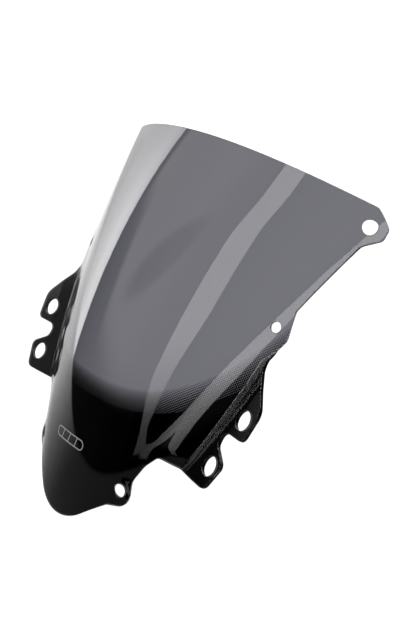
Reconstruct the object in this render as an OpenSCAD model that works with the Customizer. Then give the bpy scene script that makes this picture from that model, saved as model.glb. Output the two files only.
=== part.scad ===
// Racing windshield screen for a motorcycle fairing: one thermoformed acrylic
// sheet with mirror ears, nose tabs and upper corner tabs, and the prints on it.
//
// Everything is shaped in "sheet space": x across the bike, w up the centre
// line from the nose tip, h square to the centre line, outwards. stand_up()
// turns that into the finished pose: Z up, the nose towards -Y, and the origin
// midway between the two upper mirror holes.

/* [Sheet] */
// length of the centre line, nose tip to top edge
sheet_len = 345; // [200:1:600]
// thickness of the acrylic
sheet_t = 3; // [1:0.5:6]
// height of the centre line's bow over its ends
bow_h = 20; // [0:1:60]
// place of the highest point of the bow, from the nose tip
bow_w = 176; // [50:1:300]
// radius of the bow
bow_r = 790; // [300:10:3000]
// radius of the cross section at the nose tip
nose_section_r = 126; // [60:1:400]
// growth of that radius for each mm up the sheet
section_growth = 0.3955; // [0:0.0005:1]
// extra drop of the flanks beyond a plain parabola
flank_drop = 0.515; // [0:0.005:1]
// angle of the centre line from the ground
rake = 64; // [20:1:90]

/* [Flange] */
// distance of the flange's fold from the middle, level with the nose tip
fold_x = 48.1; // [20:0.1:120]
// outward lean of the fold for each mm up the sheet
fold_lean = 0.373; // [0:0.001:1]
// outward turn of the flange at the fold, level with the nose tip
flange_turn = 0.205; // [0:0.005:1]
// growth of that turn for each mm up the sheet
flange_growth = 0.0013; // [0:0.0001:0.005]
// where the flange starts, from the nose tip
flange_foot_w = 60; // [0:1:150]
// length over which it then comes in
flange_foot_len = 40; // [5:1:100]

/* [Outline] */
// radius of the top edge seen square to the sheet
top_edge_r = 1150; // [300:5:4000]
// radius of the rounded nose
nose_r = 50; // [20:1:120]
// angle over which the nose stays round, each side
nose_turn = 42; // [10:1:80]

/* [Mirror ears] */
// distance of the crease from the middle, at the foot of the ear
crease_x = 110.5; // [60:0.5:200]
// place of the foot of the ear, from the nose tip
crease_w = 89; // [20:1:200]
// outward lean of the crease for each mm up the sheet
crease_lean = 0.298; // [0:0.002:1]
// depth of the valley beside the ear
valley_depth = 1.3; // [0:0.1:15]
// width of the ramp from the valley up to the ear
valley_w = 17; // [3:0.5:30]
// height of the ear at the upper mirror hole
ear_h = -22.8; // [-60:0.1:20]
// rise of the ear outwards
ear_rise_x = 0.127; // [-0.5:0.001:0.5]
// rise of the ear upwards
ear_rise_w = -0.134; // [-0.5:0.002:0.5]

/* [Holes] */
// radius of the four mirror holes
mirror_hole_r = 8; // [3:0.5:12]
// radius of the nose tab holes
nose_hole_r = 5.5; // [2:0.5:10]
// radius of the screw holes in the flanks
flank_hole_r = 4.25; // [2:0.25:10]
// radius of the upper corner holes
corner_hole_r = 6; // [2:0.5:10]

/* [Prints] */
// thickness of the printed layers
print_t = 0.2; // [0.1:0.05:1]
// top of the solid black on the centre line
black_w = 109; // [20:1:300]
// top of the dot fade on the centre line
fade_w = 126; // [20:1:300]
// rise of the black border towards the flanks, times x cubed
black_rise = 0.0000245; // [0:0.0000005:0.0001]
// rise of the fade's upper border towards the flanks, times x cubed
fade_rise = 0.000031; // [0:0.0000005:0.0001]
// place of the emblem on the centre line
emblem_w = 66; // [20:1:300]
// length of the emblem
emblem_len = 42; // [5:1:80]

/* [Hidden] */
$fn = 64;

half_width = 210;          // of the moulding blank, outside every edge
blank_margin = 6;          // of the blank beyond nose and top edge
fold_blend = 6;            // softness of the flange's fold
crease_blend = 1.5;        // softness of the valley line
row_count = 32;            // grid rows along the sheet
inner_columns = 9;         // grid columns between the middle and the fold
outer_columns = 3;         // grid columns between the ear ramp and the blank's edge
fold_offsets = [-fold_blend, -fold_blend / 2, 0, fold_blend / 2, fold_blend];
crease_offsets = [-2, 0, 2, 7, 12, 17];
ear_top_w = 190;           // the ear falls away above this line
ear_fall = 0.02;
tab_flare = 2.7;           // the nose tabs flare out of the flank by this much
tab_start_x = 62;          // the flare starts this far from the middle
tab_flare_len = 16;
tab_top_w = 62;            // and is gone above this line
tab_fade_len = 18;
emblem_aspect = 0.22;      // height of the emblem for its length
emblem_line = 0.024;       // width of its lines for its length
emblem_slant = 15;
slope_step = 0.05;         // step of the numeric slopes
border_step = 10;          // between the points of a print border
top_step = 20;             // between the points of the top edge
top_end = 160;             // the corner tab's arc takes over here
nose_step = 6;             // degrees between the points of the round nose
arc_step = 14;             // degrees between the points of a rounded corner
drill_len = 40;
prism_h = 240;
smoke = [0.30, 0.30, 0.33, 0.55];
ink = [0.03, 0.03, 0.035];
fade_grey = [0.12, 0.12, 0.13, 0.8];
silver = [0.72, 0.73, 0.74];

// holes of the right half: place in sheet space and radius
mirror_upper = [151.4, 147.8];
mirror_lower = [139.1, 104.8];
nose_tab = [64.8, 48.5];
flank = [138.7, 221.2];
upper_corner = [166.8, 316.7];
holes = [
    [mirror_upper, mirror_hole_r],
    [mirror_lower, mirror_hole_r],
    [nose_tab, nose_hole_r],
    [flank, flank_hole_r],
    [upper_corner, corner_hole_r],
];

// ---- the moulded surface -------------------------------------------------

function bow(w) = bow_h - pow(w - bow_w, 2) / (2 * bow_r);
function section_r(w) = nose_section_r + section_growth * w;

function fold(w) = fold_x + fold_lean * w;

// what the flange turns out of the shell's flank, beyond the fold
function flange_h(x, w) =
    smooth((w - flange_foot_w) / flange_foot_len)
    * (flange_turn + flange_growth * w)
    * soft_max(0, abs(x) - fold(w), fold_blend);

// the main shell: a bowed centre line, rounder flanks and flatter flanges
function shell_h(x, w) =
    let (r = section_r(w))
    bow(w) - x * x / (2 * r) * (1 + flank_drop * pow(x / r, 2)) + flange_h(x, w);

function crease(w) = crease_x + crease_lean * (w - crease_w);
function held(v) = min(max(v, 0), 1);
function smooth(v) = let (c = held(v)) c * c * (3 - 2 * c);

// the mirror ear: a flat plate behind a valley
function ear_plate_h(x, w) =
    ear_h
    + ear_rise_x * (abs(x) - mirror_upper[0])
    + ear_rise_w * (w - mirror_upper[1])
    - valley_depth * (1 - held((abs(x) - crease(w)) / valley_w))
    - ear_fall * pow(max(0, w - ear_top_w), 2);

// the flare of the nose tab
function tab_flare_h(x, w) =
    tab_flare
    * smooth((abs(x) - tab_start_x) / tab_flare_len)
    * smooth((tab_top_w - w) / tab_fade_len);

function soft_max(a, b, blend) =
    let (d = max(blend - abs(a - b), 0) / blend)
    max(a, b) + d * d * blend / 4;

function surface_h(x, w) =
    soft_max(shell_h(x, w), ear_plate_h(x, w), crease_blend)
    + tab_flare_h(x, w);

// outward unit normal of the moulded surface
function normal(x, w) =
    let (
        e = slope_step,
        sx = (surface_h(x + e, w) - surface_h(x - e, w)) / (2 * e),
        sw = (surface_h(x, w + e) - surface_h(x, w - e)) / (2 * e),
        n = [-sx, -sw, 1])
    n / norm(n);

// a point at the given depth under the outer face
function sheet_point(x, w, depth) = [x, w, surface_h(x, w)] - depth * normal(x, w);

// ---- the grid the shell is built on ---------------------------------------

// the right half of a row: even columns up to the fold, then along fold and crease
function column_half(w) =
    let (
        start = fold(w) + fold_offsets[0],
        end = crease(w) + crease_offsets[len(crease_offsets) - 1])
    concat(
        [for (i = [1:inner_columns - 1]) start * i / inner_columns],
        [for (offset = fold_offsets) fold(w) + offset],
        [for (offset = crease_offsets) crease(w) + offset],
        [for (i = [1:outer_columns]) end + (half_width - end) * i / outer_columns]);

function columns(w) =
    let (half = column_half(w), n = len(half))
    concat([for (i = [n - 1:-1:0]) -half[i]], [0], half);

function row_w(j) = -blank_margin + (sheet_len + 2 * blank_margin) * j / row_count;

// a closed layer of the sheet between two depths under the outer face
module layer(depth_from, depth_to) {
    per_row = len(columns(0));
    per_skin = per_row * (row_count + 1);
    points = [
        for (depth = [depth_from, depth_to])
            for (j = [0:row_count])
                let (w = row_w(j))
                for (x = columns(w))
                    sheet_point(x, w, depth)];
    last = per_row - 1;
    outer_faces = [
        for (j = [0:row_count - 1])
            for (i = [0:last - 1])
                let (a = j * per_row + i, b = a + per_row)
                each [[a, b, b + 1], [a, b + 1, a + 1]]];
    inner_faces = [for (f = outer_faces) [f[0] + per_skin, f[2] + per_skin, f[1] + per_skin]];
    rim = concat(
        [for (i = [0:last]) i],
        [for (j = [1:row_count]) j * per_row + last],
        [for (i = [last - 1:-1:0]) row_count * per_row + i],
        [for (j = [row_count - 1:-1:1]) j * per_row]);
    rim_faces = [
        for (k = [0:len(rim) - 1])
            let (a = rim[k], b = rim[(k + 1) % len(rim)])
            each [[a, b, b + per_skin], [a, b + per_skin, a + per_skin]]];
    polyhedron(points, concat(outer_faces, inner_faces, rim_faces), convexity = 8);
}

// ---- the outline ------------------------------------------------------------

function unit(v) = v / norm(v);

// the corner at b between a and c, rounded to radius r
function rounded(a, b, c, r) =
    let (
        u = unit(a - b),
        v = unit(c - b),
        half = acos(u * v) / 2,
        centre = b + unit(u + v) * r / sin(half),
        p = b + u * r / tan(half),
        q = b + v * r / tan(half),
        steps = max(2, ceil((180 - 2 * half) / arc_step)))
    [for (k = [0:steps]) centre + r * unit((1 - k / steps) * (p - centre) + k / steps * (q - centre))];

function top_edge_w(x) = sheet_len - x * x / (2 * top_edge_r);

// corners of the right half from the top edge down to the nose: x, w, radius
edge_corners = [
    [166.3, top_edge_w(166.3), 4],   // upper corner tab
    [179.2, 320.5, 6],
    [179.3, 310.3, 5],
    [167.3, 301.2, 8],
    [147.4, 238, 10],            // straight flank edge ends at the screw hole
    [150.2, 214.5, 14],
    [142.4, 195, 8],             // root of the mirror ear
    [144.6, 187, 12],
    [166.3, 158.5, 14],          // its upper lobe
    [162.4, 133.1, 6],
    [136.5, 133.3, 6],           // notch between the lobes
    [137, 121.6, 6],
    [153.6, 110.1, 6],           // lower lobe
    [144.8, 87, 8],
    [88.8, 88.6, 6],
    [80, 76.5, 20],              // scallop above the nose tab
    [72.7, 59.6, 12],
    [75.9, 38.8, 13],            // nose tab
    [56.2, 32.2, 5],
];

function corner(i) = [edge_corners[i][0], edge_corners[i][1]];

top_points = [for (x = [top_step:top_step:top_end]) [x, top_edge_w(x)]];
nose_points = [for (a = [nose_turn:-nose_step:nose_step]) nose_r * [sin(a), 1 - cos(a)]];

right_edge = concat(
    top_points,
    [for (i = [0:len(edge_corners) - 1])
        each rounded(
            i == 0 ? top_points[len(top_points) - 1] : corner(i - 1),
            corner(i),
            i == len(edge_corners) - 1 ? nose_points[0] : corner(i + 1),
            edge_corners[i][2])],
    nose_points);

module outline() {
    n = len(right_edge);
    polygon(concat(
        [[0, sheet_len]],
        right_edge,
        [[0, 0]],
        [for (i = [n - 1:-1:0]) [-right_edge[i][0], right_edge[i][1]]]));
}

module outline_prism() {
    translate([0, 0, -prism_h / 2])
        linear_extrude(height = prism_h) outline();
}

module drill(place, r) {
    n = normal(place[0], place[1]);
    translate([place[0], place[1], surface_h(place[0], place[1])])
        rotate([0, acos(n[2]), atan2(n[1], n[0])])
            cylinder(r = r, h = drill_len, center = true);
}

module all_drills() {
    for (hole = holes) {
        drill(hole[0], hole[1]);
        drill([-hole[0][0], hole[0][1]], hole[1]);
    }
}

// ---- the prints -------------------------------------------------------------

// height of a print border at x: it rises towards the flanks
function border(x, middle, rise) = middle + rise * pow(abs(x), 3);
function below_nose(x) = -2 * blank_margin;
function black_top(x) = border(x, black_w, black_rise);
function fade_top(x) = border(x, fade_w, fade_rise);

// everything between two borders
module band(lower, upper) {
    xs = [for (x = [-half_width:border_step:half_width]) x];
    n = len(xs);
    translate([0, 0, -prism_h / 2])
        linear_extrude(height = prism_h)
            polygon(concat(
                [for (x = xs) [x, lower(x)]],
                [for (i = [n - 1:-1:0]) [xs[i], upper(xs[i])]]));
}

// a capsule ring with slanted dividers
module emblem_shape() {
    height = emblem_len * emblem_aspect;
    line = emblem_len * emblem_line;
    translate([0, emblem_w]) {
        difference() {
            capsule(emblem_len, height);
            capsule(emblem_len - 2 * line, height - 2 * line);
        }
        intersection() {
            capsule(emblem_len, height);
            for (k = [-1:1])
                translate([k * emblem_len / 4, 0]) rotate(-emblem_slant)
                    square([line, 2 * height], center = true);
        }
    }
}

module capsule(length, height) {
    square([length - height, height], center = true);
    for (side = [-1, 1])
        translate([side * (length - height) / 2, 0]) circle(d = height);
}

// ---- the pieces ---------------------------------------------------------------

module stand_up() {
    datum = sheet_point(mirror_upper[0], mirror_upper[1], sheet_t / 2);
    rotate([rake, 0, 0])
        translate([0, -datum[1], -datum[2]]) children();
}

module trimmed(depth_from, depth_to) {
    difference() {
        intersection() {
            layer(depth_from, depth_to);
            outline_prism();
        }
        all_drills();
    }
}

module screen_sheet() {
    color(smoke) stand_up() trimmed(0, sheet_t);
}

module black_print() {
    color(ink) stand_up() intersection() {
        trimmed(sheet_t, sheet_t + print_t);
        band(function(x) below_nose(x), function(x) black_top(x));
    }
}

module halftone_fade() {
    color(fade_grey) stand_up() intersection() {
        trimmed(sheet_t, sheet_t + print_t);
        band(function(x) black_top(x), function(x) fade_top(x));
    }
}

module maker_emblem() {
    color(silver) stand_up() intersection() {
        layer(-print_t, 0);
        translate([0, 0, -prism_h / 2])
            linear_extrude(height = prism_h) emblem_shape();
    }
}

screen_sheet();
black_print();
halftone_fade();
maker_emblem();
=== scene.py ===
import math

import bpy
import numpy as np
from mathutils import Matrix, Vector
from mathutils.geometry import delaunay_2d_cdt
from mathutils.kdtree import KDTree


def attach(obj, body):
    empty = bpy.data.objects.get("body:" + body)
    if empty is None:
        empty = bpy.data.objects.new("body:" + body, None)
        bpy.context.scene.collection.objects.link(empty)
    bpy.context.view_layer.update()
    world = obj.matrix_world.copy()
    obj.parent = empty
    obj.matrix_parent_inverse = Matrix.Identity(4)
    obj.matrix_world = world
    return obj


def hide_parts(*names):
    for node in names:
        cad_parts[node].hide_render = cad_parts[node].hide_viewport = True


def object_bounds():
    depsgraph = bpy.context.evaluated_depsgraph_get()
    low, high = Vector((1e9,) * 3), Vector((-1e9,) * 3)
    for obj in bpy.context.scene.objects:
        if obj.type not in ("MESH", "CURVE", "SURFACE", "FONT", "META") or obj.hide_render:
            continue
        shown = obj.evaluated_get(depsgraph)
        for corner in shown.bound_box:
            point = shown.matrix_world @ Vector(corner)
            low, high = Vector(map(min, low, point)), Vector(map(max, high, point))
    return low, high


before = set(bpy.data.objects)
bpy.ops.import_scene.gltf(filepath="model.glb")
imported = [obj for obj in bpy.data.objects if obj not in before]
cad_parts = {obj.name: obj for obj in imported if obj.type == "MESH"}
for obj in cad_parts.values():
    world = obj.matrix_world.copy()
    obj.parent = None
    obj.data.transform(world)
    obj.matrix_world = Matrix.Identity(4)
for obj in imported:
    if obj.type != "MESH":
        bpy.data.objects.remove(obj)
cad_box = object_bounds()

# ---- the sheet's driving dimensions, as in the part's source --------------------

SHEET_LEN = 345          # centre line, nose tip to top edge
SHEET_T = 3
RAKE = 64                # degrees from the ground
BOW_H = 20               # the centre line's bow: height, place of its top and radius
BOW_W = 176
BOW_R = 790
NOSE_SECTION_R = 126     # radius of the cross section at the nose tip
SECTION_GROWTH = 0.3955
FLANK_DROP = 0.515
FOLD_X = 48.1            # the flange's fold, level with the nose tip
FOLD_LEAN = 0.373
FOLD_BLEND = 6
FLANGE_TURN = 0.205
FLANGE_GROWTH = 0.0013
FLANGE_FOOT_W = 60
FLANGE_FOOT_LEN = 40
TOP_EDGE_R = 1150
NOSE_R = 50
NOSE_TURN = 42           # degrees over which the nose stays round, each side
CREASE_X = 110.5         # the crease beside the ear, at the ear's foot
CREASE_W = 89
CREASE_LEAN = 0.298
CREASE_BLEND = 1.5
VALLEY_DEPTH = 1.3
VALLEY_W = 17
EAR_FOOT_W = 80          # the ear's rows lie between these
EAR_HEAD_W = 206
EAR_H = -22.8            # the ear's plane, at the upper mirror hole
EAR_RISE_X = 0.127
EAR_RISE_W = -0.134
EAR_TOP_W = 190          # the ear falls away above this line
EAR_FALL = 0.02
TAB_FLARE = 2.7          # the nose tab flares out of the flank by this much
TAB_START_X = 62
TAB_FLARE_LEN = 16
TAB_TOP_W = 62
TAB_FADE_LEN = 18
BLACK_W = 109            # tops of the two prints on the centre line
BLACK_RISE = 0.0000245
FADE_W = 126
FADE_RISE = 0.000031
EMBLEM_W = 66            # place, length and proportions of the emblem
EMBLEM_LEN = 42
EMBLEM_ASPECT = 0.22
EMBLEM_LINE = 0.024
EMBLEM_SLANT = 15

# holes of the right half: x, w and radius
MIRROR_UPPER = (151.4, 147.8)
MIRROR_LOWER = (139.1, 104.8)
NOSE_TAB = (64.8, 48.5)
FLANK = (138.7, 221.2)
UPPER_CORNER = (166.8, 316.7)
HOLES = (
    (MIRROR_UPPER, 8),
    (MIRROR_LOWER, 8),
    (NOSE_TAB, 5.5),
    (FLANK, 4.25),
    (UPPER_CORNER, 6),
)


def top_edge_w(x):
    return SHEET_LEN - x * x / (2 * TOP_EDGE_R)


# corners of the right half from the top edge down to the nose: x, w, radius
EDGE_CORNERS = (
    (166.3, top_edge_w(166.3), 4),  # upper corner tab
    (179.2, 320.5, 6),
    (179.3, 310.3, 5),
    (167.3, 301.2, 8),
    (147.4, 238, 10),               # flank bulge
    (150.2, 214.5, 14),
    (142.4, 195, 8),                # root of the mirror ear
    (144.6, 187, 12),
    (166.3, 158.5, 14),             # its upper lobe
    (162.4, 133.1, 6),
    (136.5, 133.3, 6),              # notch between the lobes
    (137, 121.6, 6),
    (153.6, 110.1, 6),              # lower lobe
    (144.8, 87, 8),
    (88.8, 88.6, 6),
    (80, 76.5, 20),                 # scallop above the nose tab
    (72.7, 59.6, 12),
    (75.9, 38.8, 13),               # nose tab
    (56.2, 32.2, 5),
)

# ---- finish sizes ------------------------------------------------------------------

EDGE_ROUND = 0.4         # radius of the polished edges
EDGE_STEPS = 5           # rings over each rounded edge
ARC_STEP = 6             # degrees between the points of a rounded corner
NOSE_STEP = 3            # and of the round nose
TOP_STEP = 10            # between the points of the top edge
TOP_END = 160            # the corner tab takes over here
HOLE_SIDES = 72
LOOP_STEP = 2.0          # longest stretch between the points of an edge
FINE_STEP = 0.5          # and where it crosses the ear's valley
VALLEY_REACH = 6         # the fine steps reach this far from the crease
GRID_STEP = 2.6          # spacing of the points inside the sheet
GRID_CLEAR = 1.1         # they keep this far from the edges
HALF_WIDTH = 190         # of the grid of points, outside every edge
BORDER_REACH = 180       # of a print's border, outside every edge
INK_GAP = 0.02
INK_T = 0.06
DOT_ROW = 1.1            # spacing of the dots
DOT_COLUMN = 2.1
DOT_SIDES = 14
DOT_GROWTH = 0.3         # dots grow with this power of the way down the fade
DOT_BIGGEST = 0.62       # radius of the biggest dot for the distance between neighbours
DOT_SMALLEST = 0.12
DOT_CLEAR = 0.5          # the dots' centres keep this far from the edges
EMBLEM_STEP = 10         # degrees between the points of the emblem's round ends
BAR_POINTS = 6           # points along each of its dividers
FOLD_GUIDES = (-6, -3, 0, 3, 6)
VALLEY_GUIDES = (-3, -2, -1.3, -0.7, -0.35, 0, 0.35, 0.7, 1.3, 2, 3, 4.5, 6.5, 8.5, 10.5, 12.5, 14.5, 17)
MM = 0.001

# ---- the moulded surface ----------------------------------------------------------


def smooth(v):
    c = np.clip(v, 0, 1)
    return c * c * (3 - 2 * c)


def soft_max(a, b, blend):
    near = np.maximum(blend - np.abs(a - b), 0) / blend
    return np.maximum(a, b) + near * near * blend / 4


def fold(w):
    return FOLD_X + FOLD_LEAN * w


def shell_h(x, w):
    r = NOSE_SECTION_R + SECTION_GROWTH * w
    bow = BOW_H - (w - BOW_W) ** 2 / (2 * BOW_R)
    turn = (FLANGE_TURN + FLANGE_GROWTH * w) * smooth((w - FLANGE_FOOT_W) / FLANGE_FOOT_LEN)
    flange = turn * soft_max(0, np.abs(x) - fold(w), FOLD_BLEND)
    return bow - x * x / (2 * r) * (1 + FLANK_DROP * (x / r) ** 2) + flange


def crease(w):
    return CREASE_X + CREASE_LEAN * (w - CREASE_W)


def ear_plate_h(x, w):
    ramp = np.clip((np.abs(x) - crease(w)) / VALLEY_W, 0, 1)
    plane = EAR_H + EAR_RISE_X * (np.abs(x) - MIRROR_UPPER[0]) + EAR_RISE_W * (w - MIRROR_UPPER[1])
    return plane - VALLEY_DEPTH * (1 - ramp) - EAR_FALL * np.maximum(0, w - EAR_TOP_W) ** 2


def surface_h(x, w):
    flare = smooth((np.abs(x) - TAB_START_X) / TAB_FLARE_LEN) * smooth((TAB_TOP_W - w) / TAB_FADE_LEN)
    return soft_max(shell_h(x, w), ear_plate_h(x, w), CREASE_BLEND) + TAB_FLARE * flare


def normals(xw):
    step = 0.05
    x, w = xw[:, 0], xw[:, 1]
    sx = (surface_h(x + step, w) - surface_h(x - step, w)) / (2 * step)
    sw = (surface_h(x, w + step) - surface_h(x, w - step)) / (2 * step)
    n = np.stack([-sx, -sw, np.ones_like(sx)], axis=1)
    return n / np.linalg.norm(n, axis=1, keepdims=True)


def sheet_points(xw, depth):
    points = np.column_stack([xw, surface_h(xw[:, 0], xw[:, 1])])
    return points - np.asarray(depth)[..., None] * normals(xw)


DATUM = sheet_points(np.array([MIRROR_UPPER]), SHEET_T / 2)[0]
TURN = np.array(Matrix.Rotation(math.radians(RAKE), 3, "X"))


def row_frame(points):
    return (points - (0, DATUM[1], DATUM[2])) @ TURN.T * MM


# ---- outlines in sheet space ----------------------------------------------------------


def unit(v):
    return v / np.linalg.norm(v)


def rounded(a, b, c, r):
    """The corner at b between a and c, rounded to radius r."""
    u, v = unit(a - b), unit(c - b)
    half = math.acos(np.clip(u @ v, -1, 1)) / 2
    centre = b + unit(u + v) * r / math.sin(half)
    p, q = b + u * r / math.tan(half), b + v * r / math.tan(half)
    steps = max(2, math.ceil((180 - 2 * math.degrees(half)) / ARC_STEP))
    parts = [k / steps for k in range(steps + 1)]
    return [centre + r * unit((1 - part) * (p - centre) + part * (q - centre)) for part in parts]


def filled_in(loop, step):
    """The closed loop with points added, so that no stretch is longer than step(a, b)."""
    out = []
    for a, b in zip(loop, np.roll(loop, -1, axis=0)):
        n = max(1, math.ceil(np.linalg.norm(b - a) / step(a, b)))
        out += [a + (b - a) * k / n for k in range(n)]
    return np.array(out)


def even_step(a, b):
    return LOOP_STEP


def valley_step(a, b):
    """Short steps where a stretch of the edge runs over the ear's valley."""
    x, w = (a + b) / 2
    over_valley = abs(abs(x) - crease(w)) < VALLEY_REACH and EAR_FOOT_W < w < EAR_HEAD_W
    return FINE_STEP if over_valley else LOOP_STEP


def outline():
    """The sheet's whole edge as one closed loop."""
    top = [np.array([x, top_edge_w(x)]) for x in range(TOP_STEP, TOP_END + 1, TOP_STEP)]
    turns = np.radians(np.arange(NOSE_TURN, 0, -NOSE_STEP))
    nose = [NOSE_R * np.array([math.sin(a), 1 - math.cos(a)]) for a in turns]
    corners = [np.array(c[:2], float) for c in EDGE_CORNERS]
    around = [top[-1], *corners, nose[0]]
    edge = []
    for i, (_, _, r) in enumerate(EDGE_CORNERS):
        edge += rounded(around[i], around[i + 1], around[i + 2], r)
    right = np.array([*top, *edge, *nose])
    left = right[::-1] * (-1, 1)
    loop = np.vstack([[0, SHEET_LEN], right, [0, 0], left])
    return filled_in(filled_in(loop, even_step), valley_step)[::-1]


def tangents(centre):
    """Two directions in the surface, square to each other."""
    n = normals(np.array([centre], float))[0]
    u = unit(np.cross((0, 1, 0), n))
    return u, np.cross(n, u)


def ring(centre, r, sides):
    """A circle of radius r on the surface, as sheet-space x and w."""
    u, v = tangents(centre)
    turn = np.arange(sides) * 2 * math.pi / sides
    return np.array(centre) + r * (np.outer(np.cos(turn), u) + np.outer(np.sin(turn), v))[:, :2]


def hole_loops():
    loops = []
    for (x, w), r in HOLES:
        for side in (1, -1):
            loops.append(ring((side * x, w), r, HOLE_SIDES)[::-1])
    return loops


def edge_frames(loop):
    """Surface normal and direction into the material at each point of an edge loop."""
    p = sheet_points(loop, np.zeros(len(loop)))
    along = np.roll(p, -1, axis=0) - np.roll(p, 1, axis=0)
    n = normals(loop)
    into = np.cross(n, along)
    return n, into / np.linalg.norm(into, axis=1, keepdims=True)


def inside(points, loop):
    """Which points lie inside a closed loop."""
    x, w = points[:, 0], points[:, 1]
    hit = np.zeros(len(points), bool)
    for a, b in zip(loop, np.roll(loop, -1, axis=0)):
        if a[1] != b[1]:
            crosses = (a[1] > w) != (b[1] > w)
            hit ^= crosses & (x < a[0] + (w - a[1]) * (b[0] - a[0]) / (b[1] - a[1]))
    return hit


def black_top(x):
    return BLACK_W + BLACK_RISE * np.abs(x) ** 3


def fade_top(x):
    return FADE_W + FADE_RISE * np.abs(x) ** 3


# ---- mesh making ------------------------------------------------------------------------


def make_object(name, points, faces, vertex_normals):
    """A mesh object from sheet-space points, with the normals that its shading follows."""
    mesh = bpy.data.meshes.new(name)
    mesh.from_pydata(row_frame(points).tolist(), [], faces)
    mesh.validate()
    mesh.shade_smooth()
    mesh.normals_split_custom_set_from_vertices((vertex_normals @ TURN.T).tolist())
    piece = bpy.data.objects.new(name, mesh)
    bpy.context.scene.collection.objects.link(piece)
    return piece


def valley_x(w):
    """Where the shell meets the ear's valley in a row, to 0.05 mm."""
    x = np.linspace(crease(w) - 15, crease(w) + 30, 901)
    return x[np.argmax(shell_h(x, w) < ear_plate_h(x, w))]


def rows():
    return np.arange(GRID_STEP, SHEET_LEN, GRID_STEP)


def guide_lines():
    """Lines of points along the fold and the valley, whose bends the mesh has to follow."""
    lines = []
    for side in (1, -1):
        for offset in FOLD_GUIDES:
            lines.append([(side * (fold(w) + offset), w) for w in rows()])
        for offset in VALLEY_GUIDES:
            ear_rows = [w for w in rows() if EAR_FOOT_W < w < EAR_HEAD_W]
            lines.append([(side * (valley_x(w) + offset), w) for w in ear_rows])
    return lines


def grid_points():
    """Even points between the guide lines."""
    points = []
    for w in rows():
        bounds = [0, fold(w) + FOLD_GUIDES[0], fold(w) + FOLD_GUIDES[-1], HALF_WIDTH]
        if EAR_FOOT_W < w < EAR_HEAD_W:
            valley = valley_x(w)
            bounds[3:3] = [valley + VALLEY_GUIDES[0], valley + VALLEY_GUIDES[-1]]
        for low, high in zip(bounds[::2], bounds[1::2]):
            count = max(2, round((high - low) / GRID_STEP) + 1)
            for x in np.linspace(low, high, count)[1:-1]:
                points += [(x, w), (-x, w)]
        points.append((0, w))
    return np.array(points)


def far_from(points, loops, gap):
    """Which points keep the gap to every point of the loops."""
    near = np.vstack(loops)
    tree = KDTree(len(near))
    for i, (x, w) in enumerate(near):
        tree.insert((x, w, 0), i)
    tree.balance()
    return np.array([tree.find((x, w, 0))[2] > gap for x, w in points])


def runs_within(line, loops):
    """The stretches of a line that lie inside the sheet and clear of its edges."""
    line = np.array(line)
    middles = np.vstack([(line[:-1] + line[1:]) / 2, line[-1:]])
    clear = inside(line, loops[0]) & far_from(line, loops, GRID_CLEAR)
    joined = far_from(middles, loops, GRID_CLEAR)
    for loop in loops[1:]:
        clear &= ~inside(line, loop)
    runs, run = [], []
    for point, ok, bridge in zip(line, clear, joined):
        if ok:
            run.append(point)
        if run and not (ok and bridge):
            runs.append(np.array(run))
            run = []
    return runs + ([np.array(run)] if run else [])


def triangulated(loops, lines):
    """Triangles over the first loop less the others, with every loop and line as edges."""
    lines = list(lines)
    for line in guide_lines():
        lines += runs_within(line, loops)
    fixed = [*loops, *lines]
    free = grid_points()
    free = free[inside(free, loops[0])]
    for loop in loops[1:]:
        free = free[~inside(free, loop)]
    free = free[far_from(free, fixed, GRID_CLEAR)]
    edges, start = [], 0
    for loop in loops:
        n = len(loop)
        edges += [(start + k, start + (k + 1) % n) for k in range(n)]
        start += n
    for line in lines:
        edges += [(start + k, start + k + 1) for k in range(len(line) - 1)]
        start += len(line)
    points = [Vector(p) for p in np.vstack([*fixed, free])]
    whole_hull, closeness, with_origins = 0, 1e-6, True
    made = delaunay_2d_cdt(points, edges, [], whole_hull, closeness, with_origins)
    xw = np.array([tuple(v) for v in made[0]])
    tri = np.array(made[2])
    mid = xw[tri].mean(axis=1)
    kept_index = {orig: new for new, group in enumerate(made[3]) for orig in group}
    keep, start = np.ones(len(tri), bool), 0
    for i, loop in enumerate(loops):
        # the loop as the triangulation rounded it, so that no sliver outside is kept
        moved = xw[[kept_index[start + k] for k in range(len(loop))]]
        keep &= inside(mid, moved) == (i == 0)
        start += len(loop)
    return xw, tri[keep], kept_index


def border_line(border, loop):
    """The stretch of a print border that lies inside the sheet."""
    x = np.arange(-BORDER_REACH, BORDER_REACH + 0.1, LOOP_STEP)
    line = np.column_stack([x, border(x)])
    held = inside(line, loop)
    middle = len(x) // 2
    left, right = middle, middle
    while held[left - 1]:
        left -= 1
    while held[right + 1]:
        right += 1
    return line[left : right + 1]


class Sheet:
    """The trimmed outline, its edge loops and one triangulation shared by sheet and prints."""

    def __init__(self):
        self.edges = [outline(), *hole_loops()]
        self.frames = [edge_frames(loop) for loop in self.edges]
        self.inner = [
            loop + EDGE_ROUND * into[:, :2] for loop, (_, into) in zip(self.edges, self.frames)
        ]
        print_line = border_line(black_top, self.inner[0])
        self.xw, self.tri, self.index = triangulated(self.inner, [print_line[1:-1]])


sheet = Sheet()


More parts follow.
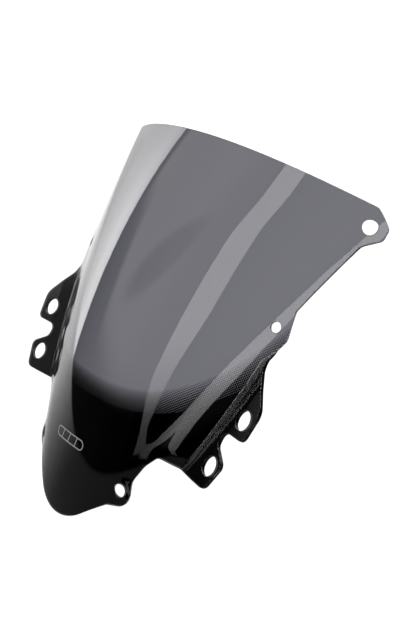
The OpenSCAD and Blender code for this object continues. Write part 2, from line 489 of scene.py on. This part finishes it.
def screen_sheet():
    """The solid sheet, with its edges rounded all round."""
    count = len(sheet.xw)
    up = normals(sheet.xw)
    points = [sheet_points(sheet.xw, np.zeros(count)), sheet_points(sheet.xw, np.full(count, SHEET_T))]
    bent = [up, -up]
    faces = sheet.tri.tolist() + (sheet.tri[:, ::-1] + count).tolist()
    total, offset = 2 * count, 0
    quarter = np.linspace(0, math.pi / 2, EDGE_STEPS + 1)[1:]
    for loop, (n, into) in zip(sheet.edges, sheet.frames):
        size = len(loop)
        flat = np.array([sheet.index[offset + k] for k in range(size)])
        offset += size
        rings = [flat]
        for angle, inner_side in [(a, False) for a in quarter] + [(a, True) for a in quarter[::-1]]:
            inset = EDGE_ROUND * (1 - math.sin(angle))
            sunk = EDGE_ROUND * (1 - math.cos(angle))
            depth = SHEET_T - sunk if inner_side else sunk
            face_way = -n if inner_side else n
            points.append(sheet_points(loop, np.full(size, depth)) + inset * into)
            bent.append(face_way * math.cos(angle) - into * math.sin(angle))
            rings.append(np.arange(total, total + size))
            total += size
        rings.append(flat + count)
        for upper, lower in zip(rings, rings[1:]):
            for k in range(size):
                j = (k + 1) % size
                faces.append((int(upper[j]), int(upper[k]), int(lower[k]), int(lower[j])))
    return make_object("screen_sheet_shell", np.vstack(points), faces, np.vstack(bent))


def film(name, keep, depth, thickness):
    """A thin closed film of the triangles in keep, its outer side at the given depth."""
    tri = sheet.tri[keep]
    used, packed = np.unique(tri, return_inverse=True)
    tri = packed.reshape(tri.shape)
    xw = sheet.xw[used]
    n = len(xw)
    up = normals(xw)
    outer = sheet_points(xw, np.full(n, depth))
    back = sheet_points(xw, np.full(n, depth + thickness))
    faces = tri.tolist() + (tri[:, ::-1] + n).tolist()
    edges = [edge for a, b, c in tri.tolist() for edge in ((a, b), (b, c), (c, a))]
    both_ways = set(edges)
    for a, b in edges:
        if (b, a) not in both_ways:
            faces.append((b, a, a + n, b + n))
    return make_object(name, np.vstack([outer, back]), faces, np.vstack([up, -up]))


def black_print():
    """The solid black on the back of the nose, the ears and the lower flanks."""
    mid = sheet.xw[sheet.tri].mean(axis=1)
    return film("black_print_film", mid[:, 1] < black_top(mid[:, 0]), SHEET_T + INK_GAP, INK_T)


def disc_pile(name, centres, radii, sides, depth, thickness):
    """Many thin discs lying in the surface, as one mesh."""
    points, faces, bent = [], [], []
    for centre, r in zip(centres, radii):
        xw = ring(centre, r, sides)
        start = len(points) * 2 * sides
        up = np.repeat(normals(np.array([centre])), sides, axis=0)
        top = sheet_points(xw, np.full(sides, depth))
        points.append(np.vstack([top, top - thickness * up]))
        bent.append(np.vstack([up, -up]))
        faces.append([start + k for k in range(sides)])
        faces.append([start + sides + k for k in reversed(range(sides))])
        for k in range(sides):
            j = (k + 1) % sides
            faces.append([start + j, start + k, start + sides + k, start + sides + j])
    return make_object(name, np.vstack(points), faces, np.vstack(bent))


def halftone_dots():
    """Dots on a staggered grid that grow from nothing until they run into the solid black."""
    biggest = DOT_BIGGEST * math.hypot(DOT_COLUMN / 2, DOT_ROW)
    first_row, last_row = round(BLACK_W / DOT_ROW) - 2, round(SHEET_LEN / DOT_ROW)
    last_column = int(HALF_WIDTH / DOT_COLUMN)
    centres, radii = [], []
    for row in range(first_row, last_row):
        w = row * DOT_ROW
        half_step = DOT_COLUMN / 2 * (row % 2)
        for column in range(-last_column, last_column + 1):
            x = column * DOT_COLUMN + half_step
            low, high = black_top(x), fade_top(x)
            part = (high - w) / (high - low)
            r = biggest * max(0, min(part, 1)) ** DOT_GROWTH
            if r > DOT_SMALLEST and w > low - r:
                centres.append((x, w))
                radii.append(r)
    centres, radii = np.array(centres), np.array(radii)
    clear = inside(centres, sheet.inner[0])
    for loop in sheet.inner[1:]:
        clear &= ~inside(centres, loop)
    keep = clear & far_from(centres, sheet.inner, DOT_CLEAR)
    return disc_pile("halftone_dots", centres[keep], radii[keep], DOT_SIDES, SHEET_T + INK_GAP, INK_T)


def strip(name, lines, width, depth, thickness):
    """Closed ribbons of the given width along lines drawn in sheet space, as one mesh."""
    points, faces, bent, total = [], [], [], 0
    for line, closed in lines:
        line = np.array(line, float)
        n = len(line)
        ahead, behind = np.roll(line, -1, axis=0), np.roll(line, 1, axis=0)
        if not closed:
            ahead[-1], behind[0] = line[-1], line[0]
        along = ahead - behind
        across = np.column_stack([-along[:, 1], along[:, 0]]) / np.linalg.norm(along, axis=1, keepdims=True)
        left, right = line + across * width / 2, line - across * width / 2
        up = normals(line)
        for xw, at in ((left, depth), (right, depth), (right, depth + thickness), (left, depth + thickness)):
            points.append(sheet_points(xw, np.full(n, at)))
        bent += [up, up, -up, -up]
        corner = [np.arange(total + k * n, total + (k + 1) * n) for k in range(4)]
        total += 4 * n
        for k in range(n if closed else n - 1):
            j = (k + 1) % n
            for s in range(4):
                p, q = corner[s], corner[(s + 1) % 4]
                faces.append([int(p[k]), int(q[k]), int(q[j]), int(p[j])])
        if not closed:
            faces.append([int(c[0]) for c in reversed(corner)])
            faces.append([int(c[-1]) for c in corner])
    return make_object(name, np.vstack(points), faces, np.vstack(bent))


def maker_emblem():
    """A generic mark: a capsule ring with slanted dividers."""
    height, line = EMBLEM_LEN * EMBLEM_ASPECT, EMBLEM_LEN * EMBLEM_LINE
    r = (height - line) / 2
    reach = (EMBLEM_LEN - height) / 2
    turns = np.radians(np.arange(-90, 91, EMBLEM_STEP))
    right = [(reach + r * math.cos(a), EMBLEM_W + r * math.sin(a)) for a in turns]
    left = [(-x, 2 * EMBLEM_W - w) for x, w in right]
    lines = [(filled_in(np.array(right + left), even_step), True)]
    lean = math.tan(math.radians(EMBLEM_SLANT)) * r
    for k in (-1, 0, 1):
        x = k * EMBLEM_LEN / 4
        ends = np.array([(x - lean, EMBLEM_W - r), (x + lean, EMBLEM_W + r)])
        lines.append((np.linspace(ends[0], ends[1], BAR_POINTS), False))
    return strip("maker_emblem_film", lines, line, -INK_T, INK_T)


# ---- materials -----------------------------------------------------------------------------

INK_UNEVENNESS = 0.06
BLACK = (0.002, 0.002, 0.0025)
SILVER = (0.22, 0.225, 0.23)


def new_material(name):
    """A node material, with its nodes, its links and its shader."""
    material = bpy.data.materials.new(name)
    material.use_nodes = True
    nodes, links = material.node_tree.nodes, material.node_tree.links
    return material, nodes, links, nodes["Principled BSDF"]


def smoke_acrylic():
    """Clear polished acrylic, tinted through its thickness, with a trace of haze."""
    material, nodes, links, shader = new_material("smoke_acrylic")
    shader.inputs["Base Color"].default_value = (1, 1, 1, 1)
    shader.inputs["Transmission Weight"].default_value = 1
    shader.inputs["IOR"].default_value = 1.49
    haze = nodes.new("ShaderNodeTexNoise")
    haze.inputs["Scale"].default_value = 30
    spread = nodes.new("ShaderNodeMapRange")
    spread.inputs["To Min"].default_value = 0.0
    spread.inputs["To Max"].default_value = 0.012
    place = nodes.new("ShaderNodeTexCoord")
    links.new(place.outputs["Object"], haze.inputs["Vector"])
    links.new(haze.outputs["Fac"], spread.inputs["Value"])
    links.new(spread.outputs["Result"], shader.inputs["Roughness"])
    tint = nodes.new("ShaderNodeVolumeAbsorption")
    tint.inputs["Color"].default_value = (0.0, 0.0, 0.065, 1)
    tint.inputs["Density"].default_value = 610
    links.new(tint.outputs["Volume"], nodes["Material Output"].inputs["Volume"])
    return material


def ink(name, colour, roughness, gloss):
    """Screen print ink with a fine uneven film; ink bonded to the sheet has no gloss of its own."""
    material, nodes, links, shader = new_material(name)
    shader.inputs["Base Color"].default_value = (*colour, 1)
    shader.inputs["Specular IOR Level"].default_value = gloss
    grain = nodes.new("ShaderNodeTexNoise")
    grain.inputs["Scale"].default_value = 900
    grain.inputs["Detail"].default_value = 3
    spread = nodes.new("ShaderNodeMapRange")
    spread.inputs["To Min"].default_value = roughness - INK_UNEVENNESS
    spread.inputs["To Max"].default_value = roughness + INK_UNEVENNESS
    place = nodes.new("ShaderNodeTexCoord")
    links.new(place.outputs["Object"], grain.inputs["Vector"])
    links.new(grain.outputs["Fac"], spread.inputs["Value"])
    links.new(spread.outputs["Result"], shader.inputs["Roughness"])
    return material


# ---- the studio -----------------------------------------------------------------------------

PALE = 1.25              # brightness of the plain surroundings that the camera sees
FLOOR_GLOW = 0.95
FLOOR_REACH = 9.0        # metres
LAMP_EDGE = 0.3          # degrees over which the strip lamp's edges fade, each way


class Sums:
    """Small helper that builds arithmetic out of shader nodes."""

    def __init__(self, tree):
        self.nodes, self.links = tree.nodes, tree.links

    def math(self, operation, *values):
        node = self.nodes.new("ShaderNodeMath")
        node.operation = operation
        for socket, value in zip(node.inputs, values):
            if isinstance(value, (int, float)):
                socket.default_value = value
            else:
                self.links.new(value, socket)
        return node.outputs[0]

    def add(self, *values):
        total = values[0]
        for value in values[1:]:
            total = self.math("ADD", total, value)
        return total

    def times(self, *values):
        total = values[0]
        for value in values[1:]:
            total = self.math("MULTIPLY", total, value)
        return total

    def minus(self, a, b):
        return self.math("SUBTRACT", a, b)

    def ramp(self, value, low, high, from_value=0.0, to_value=1.0):
        """Smooth step from from_value at low to to_value at high."""
        node = self.nodes.new("ShaderNodeMapRange")
        node.interpolation_type = "SMOOTHSTEP"
        for name, v in (("Value", value), ("From Min", low), ("From Max", high)):
            if isinstance(v, (int, float)):
                node.inputs[name].default_value = v
            else:
                self.links.new(v, node.inputs[name])
        node.inputs["To Min"].default_value = from_value
        node.inputs["To Max"].default_value = to_value
        return node.outputs["Result"]


# The studio's parts are brightnesses by azimuth and elevation, in degrees:
# azimuth from -Y towards +X, elevation from the horizon.


def strip_lamp(s, azimuth, elevation):
    """Tall lamp in front, wider upwards and at its foot, leaning to +X at the top."""
    lean = s.ramp(elevation, 34, 42, 0, 3)
    left_edge = s.add(s.ramp(elevation, -3, 12, 2, -6), lean)
    right_edge = s.add(s.ramp(elevation, 8, 22, 4.2, 8.3), s.ramp(elevation, -3, 2, 3.5, 0), lean)
    return s.times(
        s.ramp(s.minus(azimuth, left_edge), -LAMP_EDGE, LAMP_EDGE),
        s.ramp(s.minus(right_edge, azimuth), -LAMP_EDGE, LAMP_EDGE),
        s.ramp(elevation, -3.6, -2.6),
        s.ramp(elevation, -3, 20, 0.7, 4.1),
    )


def left_lamp(s, azimuth, elevation):
    """Large lamp on the left, brightest at its front edge and at middle height."""
    glow = s.add(1.1, s.times(4.6, s.math("EXPONENT", s.times(s.add(azimuth, 77.5), 1 / 12))))
    height = s.times(s.minus(elevation, 8), 1 / 24)
    belly = s.math("EXPONENT", s.times(s.times(height, height), -1.0))
    return s.times(
        s.math("MINIMUM", glow, 5.6),
        s.ramp(azimuth, -73.4, -72.6, 1, 0),
        s.ramp(elevation, -6.5, -5.0),
        s.add(0.4, s.times(0.6, belly)),
    )


def dark_panel(s, azimuth, elevation, middle, lean, reach):
    """How much a soft oval dark panel covers a direction, from 0 to 0.7."""
    lean = math.radians(lean)
    aside = s.add(azimuth, -float(middle[0]))
    above = s.add(elevation, -float(middle[1]))
    along = s.times(s.add(s.times(aside, math.cos(lean)), s.times(above, math.sin(lean))), 1 / reach[0])
    across = s.times(s.minus(s.times(above, math.cos(lean)), s.times(aside, math.sin(lean))), 1 / reach[1])
    return s.ramp(s.add(s.times(along, along), s.times(across, across)), 0.2, 1.0, 0.7, 0)


def grey_wall(s, azimuth, elevation):
    """Wall from the left lamp rightwards, where it dims, with a dark foot and one panel."""
    foot = s.ramp(azimuth, -66, -54, 15, 3)
    panel = dark_panel(s, azimuth, elevation, middle=(-36.5, 25), lean=36, reach=(20, 5.5))
    return s.times(
        s.ramp(s.minus(elevation, foot), 0, 9, 0.03, 1),
        s.ramp(azimuth, -72, -69),
        s.ramp(azimuth, -36, -10, 1.15, 0.5),
        s.ramp(azimuth, -10, 0, 1, 0.15),
        s.minus(1.0, panel),
    )


def table(s, azimuth, elevation):
    """Table below the horizon, lighter towards the left lamp."""
    slide = s.minus(azimuth, s.times(s.add(elevation, 9), 1.67))
    reach = s.math("MINIMUM", s.math("MAXIMUM", s.times(s.add(slide, 42), -1 / 38), 0.0), 1.0)
    near_lamp = s.math("POWER", reach, 1.7)
    return s.times(
        s.ramp(elevation, -6.2, -5.2, 1, 0),
        s.add(0.2, s.times(near_lamp, s.ramp(elevation, -20, -8, 0.9, 1.8))),
    )


def overhead_lamp(s, azimuth, elevation):
    """Lamp that covers everything straight above."""
    return s.ramp(elevation, 52, 58, 0, 3.4)


def back_lamps(s, azimuth, elevation):
    """Two soft lamps behind the sheet, for the views from there."""
    aside = s.math("ABSOLUTE", s.minus(s.math("ABSOLUTE", azimuth), 150.0))
    return s.times(
        s.ramp(aside, 12, 22, 1, 0),
        s.ramp(elevation, 22, 32),
        s.ramp(elevation, 45, 55, 1.6, 0),
    )


def never_reflected(s, path):
    """1 for a ray that has met no reflection on its way from the camera, otherwise 0."""
    return s.math("LESS_THAN", path.outputs["Glossy Depth"], 0.5)


def studio_world():
    """Pale all round to look at; lamps, a grey wall and a table for reflections."""
    world = bpy.data.worlds.new("studio")
    bpy.context.scene.world = world
    world.use_nodes = True
    tree = world.node_tree
    tree.nodes.clear()
    s = Sums(tree)
    way = tree.nodes.new("ShaderNodeTexCoord")
    split = tree.nodes.new("ShaderNodeSeparateXYZ")
    tree.links.new(way.outputs["Generated"], split.inputs[0])
    degree = 180 / math.pi
    azimuth = s.times(s.math("ARCTAN2", split.outputs["X"], s.times(split.outputs["Y"], -1.0)), degree)
    elevation = s.times(s.math("ARCSINE", split.outputs["Z"]), degree)
    parts = (strip_lamp, left_lamp, grey_wall, table, overhead_lamp, back_lamps)
    studio = s.add(*[part(s, azimuth, elevation) for part in parts])

    path = tree.nodes.new("ShaderNodeLightPath")
    looked_at = s.math("MAXIMUM", path.outputs["Is Camera Ray"], path.outputs["Is Transmission Ray"])
    reflected = tree.nodes.new("ShaderNodeBackground")
    pale = tree.nodes.new("ShaderNodeBackground")
    pale.inputs["Strength"].default_value = PALE
    tree.links.new(studio, reflected.inputs["Strength"])
    mix = tree.nodes.new("ShaderNodeMixShader")
    tree.links.new(s.times(looked_at, never_reflected(s, path)), mix.inputs["Fac"])
    tree.links.new(reflected.outputs[0], mix.inputs[1])
    tree.links.new(pale.outputs[0], mix.inputs[2])
    out = tree.nodes.new("ShaderNodeOutputWorld")
    tree.links.new(mix.outputs[0], out.inputs["Surface"])
    world.cycles.sampling_method = "MANUAL"
    world.cycles.sample_map_resolution = 1024


def studio_floor():
    """A pale light table under the nose, which the sheet's own reflections don't see."""
    low, reach = cad_box[0].z, FLOOR_REACH
    mesh = bpy.data.meshes.new("floor")
    corners = [(-reach, -reach, low), (reach, -reach, low), (reach, reach, low), (-reach, reach, low)]
    mesh.from_pydata(corners, [], [(0, 1, 2, 3)])
    floor = bpy.data.objects.new("floor", mesh)
    bpy.context.scene.collection.objects.link(floor)
    material, nodes, links, shader = new_material("floor_white")
    shader.inputs["Base Color"].default_value = (0.15, 0.15, 0.15, 1)
    shader.inputs["Roughness"].default_value = 1
    shader.inputs["Specular IOR Level"].default_value = 0
    shader.inputs["Emission Color"].default_value = (1, 1, 1, 1)
    s = Sums(material.node_tree)
    path = nodes.new("ShaderNodeLightPath")
    links.new(s.times(never_reflected(s, path), FLOOR_GLOW), shader.inputs["Emission Strength"])
    mesh.materials.append(material)
    floor.visible_glossy = False


def camera():
    """The photograph's viewpoint, from a camera fitted to the holes."""
    place = (0.691758, -0.427375, 0.350671)
    azimuth, elevation, roll = math.radians(53.802), math.radians(21.045), math.radians(0.0725)
    data = bpy.data.cameras.new("camera")
    data.sensor_width = 36
    data.lens = 58.49
    data.clip_start, data.clip_end = 0.05, 50
    cam = bpy.data.objects.new("camera", data)
    bpy.context.scene.collection.objects.link(cam)
    turn = Matrix.Rotation(azimuth, 4, "Z") @ Matrix.Rotation(math.pi / 2 - elevation, 4, "X")
    cam.matrix_world = Matrix.Translation(place) @ turn @ Matrix.Rotation(roll, 4, "Z")
    bpy.context.scene.camera = cam


# ---- putting it together ----------------------------------------------------------------------


def dress(piece, material, node):
    """Gives a piece its material, and lets it stand for a CAD node on the one body."""
    piece.data.materials.append(material)
    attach(piece, "root")
    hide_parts(node)


black_ink = ink("black_ink", BLACK, roughness=0.35, gloss=0)
silver_ink = ink("silver_ink", SILVER, roughness=0.45, gloss=0.3)
dress(screen_sheet(), smoke_acrylic(), "screen_sheet")
dress(black_print(), black_ink, "black_print")
dress(halftone_dots(), black_ink, "halftone_fade")
dress(maker_emblem(), silver_ink, "maker_emblem")

studio_world()
studio_floor()
camera()
scene = bpy.context.scene
scene.view_settings.view_transform = "Standard"
scene.view_settings.look = "None"
